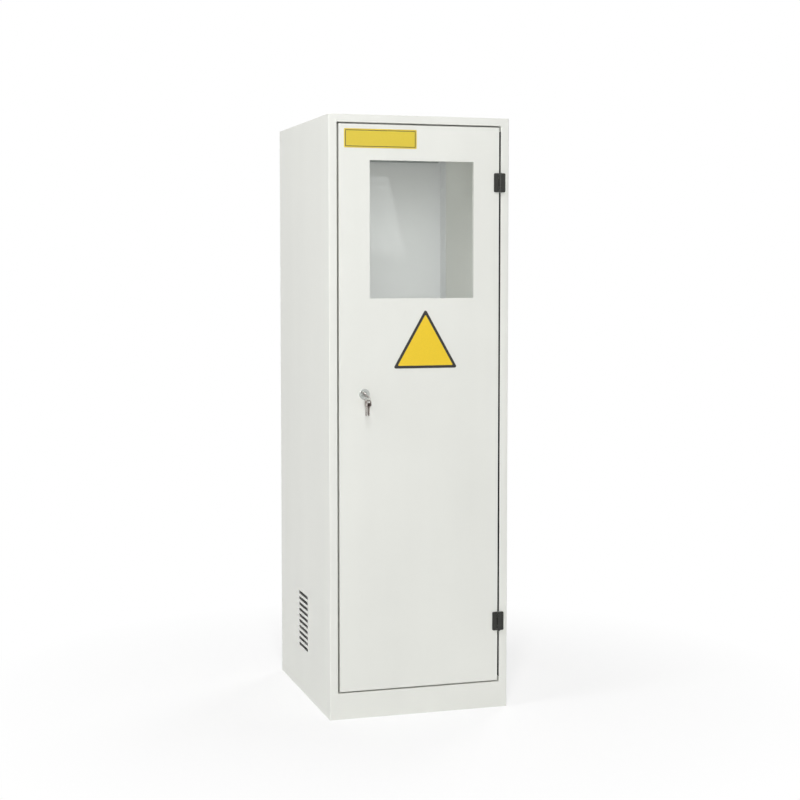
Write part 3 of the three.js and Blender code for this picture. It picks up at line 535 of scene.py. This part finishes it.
def plate(name, corners, thickness, bands, materials):
    """A thin plate on the door. Each band is (inset, corner radius, height as a share of the thickness,
    material of the ring that starts there), and the last one closes the middle."""
    mesh = bmesh.new()
    rings = []
    for distance, radius, height, index in [(0.0, bands[0][1], 0.0, bands[0][3]), *bands]:
        outline = rounded(inset(corners, distance), radius)
        ring = [mesh.verts.new((spot.x, FACE - thickness * height, spot.y)) for spot in outline]
        rings.append((ring, index))
    for (low, index), (high, _) in zip(rings, rings[1:]):
        for face in walled(mesh, low, high):
            face.material_index = index
    mesh.faces.new(rings[-1][0]).material_index = rings[-1][1]
    mesh.faces.new(rings[0][0][::-1]).material_index = rings[0][1]
    made(name, mesh, "door", materials=materials)


YELLOW = 0
BLACK = 1
# The plates' corners on the door's face, as x and z
LABEL = [(-0.250, 1.816), (-0.012, 1.816), (-0.012, 1.8755), (-0.250, 1.8755)]
LABEL_BANDS = [
    (0.0, 3.0 * MM, 0.8, YELLOW),
    (0.2 * MM, 2.8 * MM, 1.0, YELLOW),
    (3.8 * MM, 1.8 * MM, 1.0, BLACK),
    (5.8 * MM, 1.2 * MM, 1.0, YELLOW),
]
SIGN = [(-0.0895, 1.1205), (0.1255, 1.1205), (0.018, 1.3095)]
SIGN_BANDS = [
    (0.0, 5.0 * MM, 0.8, BLACK),
    (0.25 * MM, 4.8 * MM, 1.0, BLACK),
    (8.6 * MM, 2.4 * MM, 1.0, YELLOW),
]

# Fasteners: the places of each kind, and the radius of its head

GLAZING_RIM = 8.0 * MM
GLAZING_SPACING = 130 * MM
GLAZING_SCREW = 3.5 * MM

CRADLE_SHEET = 3.0 * MM
CRADLE_BOLT_DROP = 28 * MM
CRADLE_BOLT_REACH = 240 * MM
CRADLE_BOLT = 6.5 * MM

BAR_SHEET = 3.0 * MM
BAR_BOLT_FROM_SIDE = 8 * MM
BAR_BOLT_FROM_END = 12 * MM
BAR_BOLT = 5.0 * MM

RIVET_FROM_END = 60 * MM
RIVET_FROM_SIDE = 11 * MM
RIVET_SPACING = 260 * MM
RIVET = 3.6 * MM


def centred(start, end, spacing):
    """Places from start to end, both included, in equal steps no longer than the spacing."""
    steps = math.ceil((end - start) / spacing)
    return [start + (end - start) * step / steps for step in range(steps + 1)]


def glazing_screws():
    """Screws around the frame that holds the pane, on the door's inner side."""
    low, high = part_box("window_frame")
    xs = centred(low.x + GLAZING_RIM, high.x - GLAZING_RIM, GLAZING_SPACING)
    zs = centred(low.z + GLAZING_RIM, high.z - GLAZING_RIM, GLAZING_SPACING)
    places = [(x, high.y, z) for x in xs for z in (zs[0], zs[-1])]
    places += [(x, high.y, z) for z in zs[1:-1] for x in (xs[0], xs[-1])]
    fasteners("glazing_screws", "door", "zinc_steel", button_screw, places, (0, 1, 0), GLAZING_SCREW)


def cradle_bolts():
    """Bolts through each cradle's upright flange into the back panel."""
    places = []
    for level in ("lower", "upper"):
        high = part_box("cylinder_cradle_" + level)[1]
        seat = high.y - CRADLE_SHEET
        height = high.z - CRADLE_BOLT_DROP
        places += [(x, seat, height) for x in (-CRADLE_BOLT_REACH, 0.0, CRADLE_BOLT_REACH)]
    fasteners("cradle_bolts", "cabinet", "zinc_steel", hex_bolt, places, (0, -1, 0), CRADLE_BOLT)


def bar_bolts():
    """Bolts that hold the retaining bar's bracket and fork to the side panels."""
    low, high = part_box("bar_bracket")
    ys = (low.y + BAR_BOLT_FROM_SIDE, high.y - BAR_BOLT_FROM_SIDE)
    zs = (low.z + BAR_BOLT_FROM_END, high.z - BAR_BOLT_FROM_END)
    places = [(high.x - BAR_SHEET, y, z) for y in ys for z in zs]
    fasteners("bracket_bolts", "cabinet", "zinc_steel", hex_bolt, places, (-1, 0, 0), BAR_BOLT)
    low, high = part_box("bar_fork")
    zs = (low.z + BAR_BOLT_FROM_END, high.z - BAR_BOLT_FROM_END)
    places = [(low.x + BAR_SHEET, y, z) for y in ys for z in zs]
    fasteners("fork_bolts", "cabinet", "zinc_steel", hex_bolt, places, (1, 0, 0), BAR_BOLT)


def back_rivets():
    """Rivets that hold the back panel to the side panels' returns."""
    zs = centred(RIVET_FROM_END, HEIGHT - RIVET_FROM_END, RIVET_SPACING)
    places = [(side * (HALF_WIDTH - RIVET_FROM_SIDE), BACK, z) for side in (-1, 1) for z in zs]
    fasteners("back_rivets", "cabinet", "body_paint", blind_rivet, places, (0, 1, 0), RIVET)


# Pieces of one section: trim, strip, rail and ring


def mirrored(half, total):
    """A section in metres from one half of it in millimetres. The other half is its mirror image, and the
    heights of two matching points add up to the total."""
    both = half + [(out, total - up) for out, up in reversed(half)]
    return [(out * MM, up * MM) for out, up in both]


def station(place, out, up):
    """Where a section stands: its two measures run along out and up from the place."""
    axes = Matrix((out, up, out.cross(up))).transposed()
    return Matrix.Translation(place) @ axes.to_4x4()


def swept(mesh, section, stations):
    """Adds a closed body that carries a section through the stations, with a face at each end."""
    loops = [[mesh.verts.new(at @ Vector((out, up, 0.0))) for out, up in section] for at in stations]
    closed(mesh, loops)


UP = Vector((0, 0, 1))
ACROSS = Vector((0, 1, 0))

# The rubber trim on a cradle's edge: outwards from the seat's middle, and up from the cradle's top
TRIM_OUTSIDE = [(118.15, 0.1), (123.5, 0.1), (124.0, 0.6), (123.5, 1.1)]
TRIM_INSIDE = [(117.6, 1.1), (117.0, 0.6), (116.8, -0.2)]
TRIM = mirrored(TRIM_OUTSIDE + TRIM_INSIDE, -3)
TRIM_STEPS = 48
# How far the trim's ends stay back from the cradle's front edge, in radians
TRIM_CLEAR = 0.004
SEAT_X = 135 * MM
SEAT_FROM_BACK = 130 * MM
SEAT_RADIUS = 118 * MM


def cradle_trim(level):
    """Rubber trim around both seats of one cradle."""
    low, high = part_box("cylinder_cradle_" + level)
    seat = high.y - SEAT_FROM_BACK
    start = math.asin((low.y - seat) / SEAT_RADIUS) + TRIM_CLEAR
    mesh = bmesh.new()
    for x in (-SEAT_X, SEAT_X):
        stations = []
        for step in range(TRIM_STEPS + 1):
            angle = start + (math.pi - 2 * start) * step / TRIM_STEPS
            out = Vector((math.cos(angle), math.sin(angle), 0.0))
            stations.append(station((x, seat, high.z), out, UP))
        swept(mesh, TRIM, stations)
    made("cradle_trim_" + level, mesh, "cabinet", "black_rubber")


# The black strip on the hinge side's jamb, in the rubber finish, darkens that gap as painted shade. Its
# section runs across from the jamb, where less than 0 is into the gap, and back from the door's face
STRIP = mirrored([(0.1, 2.4), (-0.9, 2.7), (-1.5, 3.8), (-1.1, 6.5)], 20)
STRIP_EDGE = 0.2 * MM


def gap_shade_strip():
    """Black strip along the jamb, from the sill rail to the head rail, in the rubber finish: painted shade
    that darkens the hinge-side gap.
    """
    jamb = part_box("head_rail")[1].x
    ends = [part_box("sill_rail")[1].z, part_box("head_rail")[0].z]
    section = [(jamb + across, FACE + back) for across, back in STRIP]
    mesh = bmesh.new()
    swept(mesh, section, [Matrix.Translation((0.0, 0.0, z)) for z in ends])
    made("gap_shade_strip", mesh, "cabinet", "black_rubber", edge=STRIP_EDGE)


# The lipped zinc rail across the top of the back panel, darker than the liner, paints a line of shade there.
# Its section runs out from the back panel, and up from the rail's foot
RAIL = mirrored([(0, 0), (12, 0), (12, 5.5), (10.5, 5.5), (10.5, 1.5), (1.5, 1.5)], 25)
RAIL_EDGE = 0.3 * MM
RAIL_FOOT = 1820.6 * MM
RAIL_MIDDLE = 12.5 * MM
RAIL_SHEET = 1.5 * MM
RAIL_REACH = 285 * MM
RAIL_BOLT_REACH = 250 * MM
RAIL_BOLT_SPACING = 170 * MM
RAIL_BOLT = 4.0 * MM


def shade_line_rail():
    """Zinc rail across the top of the back panel, with its bolts; its darker metal paints a line of shade
    under the roof.
    """
    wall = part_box("cylinder_cradle_upper")[1].y
    ends = [station((x, wall, RAIL_FOOT), -ACROSS, UP) for x in (RAIL_REACH, -RAIL_REACH)]
    mesh = bmesh.new()
    swept(mesh, RAIL, ends)
    made("shade_line_rail", mesh, "cabinet", "zinc_steel", edge=RAIL_EDGE)
    xs = centred(-RAIL_BOLT_REACH, RAIL_BOLT_REACH, RAIL_BOLT_SPACING)
    places = [(x, wall - RAIL_SHEET, RAIL_FOOT + RAIL_MIDDLE) for x in xs]
    fasteners("rail_bolts", "cabinet", "zinc_steel", hex_bolt, places, (0, -1, 0), RAIL_BOLT)


# The split ring: its wire's radius and sides, and along the wire, in turns: its length, where it crosses
# from one side to the other, how long that takes, and where it starts on the circle
WIRE = 0.4 * MM
WIRE_SIDES = 8
RING_STEPS = 96
RING_TURNS = 1.96
CROSSING = 0.9
CROSSING_LENGTH = 0.16
RING_START = 0.3


def split_ring():
    """The key ring as a wire of two turns side by side, which the CAD has as one thick ring."""
    low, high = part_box("key_ring")
    middle = (low + high) / 2
    radius = (high.x - low.x) / 2 - 2 * WIRE
    angles = [TURN * side / WIRE_SIDES for side in range(WIRE_SIDES)]
    section = [(WIRE * math.cos(angle), WIRE * math.sin(angle)) for angle in angles]
    stations = []
    for step in range(RING_STEPS + 1):
        turns = RING_TURNS * step / RING_STEPS
        crossed = min(max((turns - CROSSING) / CROSSING_LENGTH, 0.0), 1.0)
        crossed = crossed * crossed * (3 - 2 * crossed)
        angle = TURN * (turns + RING_START)
        out = Vector((math.cos(angle), 0.0, math.sin(angle)))
        place = middle + out * radius + Vector((0.0, (2 * crossed - 1) * WIRE, 0.0))
        stations.append(station(place, out, ACROSS))
    mesh = bmesh.new()
    swept(mesh, section, stations)
    ring = made("split_ring", mesh, "key_ring", "key_nickel")
    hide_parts("key_ring")


plate("label_plate", LABEL, 0.9 * MM, LABEL_BANDS, [label_yellow, print_black])
plate("sign_plate", SIGN, 1.0 * MM, SIGN_BANDS, [sign_yellow, print_black])
glazing_screws()
cradle_bolts()
bar_bolts()
back_rivets()
cradle_trim("lower")
cradle_trim("upper")
gap_shade_strip()
shade_line_rail()
split_ring()

# Floor and background

FLOOR_RADIUS = 30.0
FLOOR_STEPS = 96
FLOOR_DROP = 0.2 * MM
# How white the floor shows near the object and far from it, and the distances where the change starts
# and ends
FLOOR_NEAR = 0.7
FLOOR_FAR = 1.0
FADE_START = 0.65
FADE_END = 1.5
WORLD_LEVEL = 0.13


def floor():
    """A plain floor, which shows paler than it is lit and turns into the white background far away."""
    mesh = bmesh.new()
    bmesh.ops.create_circle(mesh, cap_ends=True, segments=FLOOR_STEPS, radius=FLOOR_RADIUS)
    data = bpy.data.meshes.new("floor")
    mesh.to_mesh(data)
    mesh.free()
    obj = bpy.data.objects.new("floor", data)
    obj.location.z = -FLOOR_DROP
    bpy.context.scene.collection.objects.link(obj)
    finish = Finish("floor")
    finish.dress(Base_Color=FLOOR_GREY, Roughness=0.9, Specular_IOR_Level=0.1)
    distance = finish.add("ShaderNodeVectorMath", operation="LENGTH")
    finish.feed(distance.inputs[0], finish.place)
    away = finish.spread(distance.outputs["Value"], FLOOR_NEAR, FLOOR_FAR, start=FADE_START, end=FADE_END)
    share = finish.combined("MULTIPLY", finish.seen_directly(), away)
    white = finish.add("ShaderNodeEmission", Color=WHITE, Strength=1.0)
    finish.show_mixed(share, finish.shader.outputs["BSDF"], white.outputs[0])
    data.materials.append(finish.material)


def background(level):
    """A world that lights the object at a level, and that shows as white."""
    world = bpy.data.worlds.new("studio")
    bpy.context.scene.world = world
    nodes = Nodes(world)
    lamp = nodes.tree.nodes["Background"]
    nodes.feed(lamp.inputs["Color"], WHITE)
    nodes.feed(lamp.inputs["Strength"], level)
    white = nodes.add("ShaderNodeBackground", Color=WHITE)
    nodes.show_mixed(nodes.seen_directly(), lamp.outputs[0], white.outputs[0])


def softbox(name, place, target, size, watts, glossy=True):
    """A round lamp of the size that faces the target, and that shows in gloss where glossy says so."""
    data = bpy.data.lights.new(name, "AREA")
    data.shape = "DISK"
    data.size = size
    data.energy = watts
    obj = bpy.data.objects.new(name, data)
    obj.location = place
    direction = Vector(target) - Vector(place)
    obj.rotation_euler = direction.to_track_quat("-Z", "Y").to_euler()
    obj.visible_camera = False
    obj.visible_glossy = glossy
    bpy.context.scene.collection.objects.link(obj)


floor()
background(WORLD_LEVEL)
softbox("front_light", (-1.3, -5.4, 2.2), (0.0, -0.3, 1.3), size=2.2, watts=77.0)
softbox("upper_light", (-1.3, -5.2, 2.9), (0.0, -0.3, 1.4), size=2.0, watts=29.0)
softbox("side_light", (-4.6, -1.6, 3.4), (0.0, 0.0, 1.2), size=2.0, watts=58.0)
softbox("far_side_light", (-4.4, -1.0, 4.4), (0.0, 0.0, 1.6), size=1.8, watts=65.0)
softbox("key_light", (-0.8, -2.6, 5.5), (0.0, -0.3, 1.0), size=0.3, watts=70.0)
softbox("top_light", (0.0, 0.0, 5.5), (0.0, 0.0, 0.0), size=3.0, watts=25.0)
softbox("back_light", (3.4, 3.8, 2.6), (0.1, 0.1, 1.0), size=2.2, watts=140.0, glossy=False)
softbox("inner_light", (0.0, -0.18, 1.24), (0.0, 0.36, 1.8), size=0.2, watts=0.88, glossy=False)

# Camera at the photograph's viewing angle. The picture is square, and lengths on it are in pixels.

PICTURE = 800
FOCAL_LENGTH = 1603.3
SHIFT = -22.8
SENSOR_MM = 36.0
CAMERA_PLACE = (-1.5534, -5.2035, 1.4298)
CAMERA_DOWN = 3.782
CAMERA_ROUND = -16.956

camera_data = bpy.data.cameras.new("camera")
camera_data.sensor_width = SENSOR_MM
camera_data.lens = FOCAL_LENGTH * SENSOR_MM / PICTURE
camera_data.shift_y = SHIFT / PICTURE
camera = bpy.data.objects.new("camera", camera_data)
camera.location = CAMERA_PLACE
camera.rotation_euler = (math.radians(90 - CAMERA_DOWN), 0.0, math.radians(CAMERA_ROUND))
bpy.context.scene.collection.objects.link(camera)
bpy.context.scene.camera = camera
bpy.context.scene.view_settings.view_transform = "Standard"
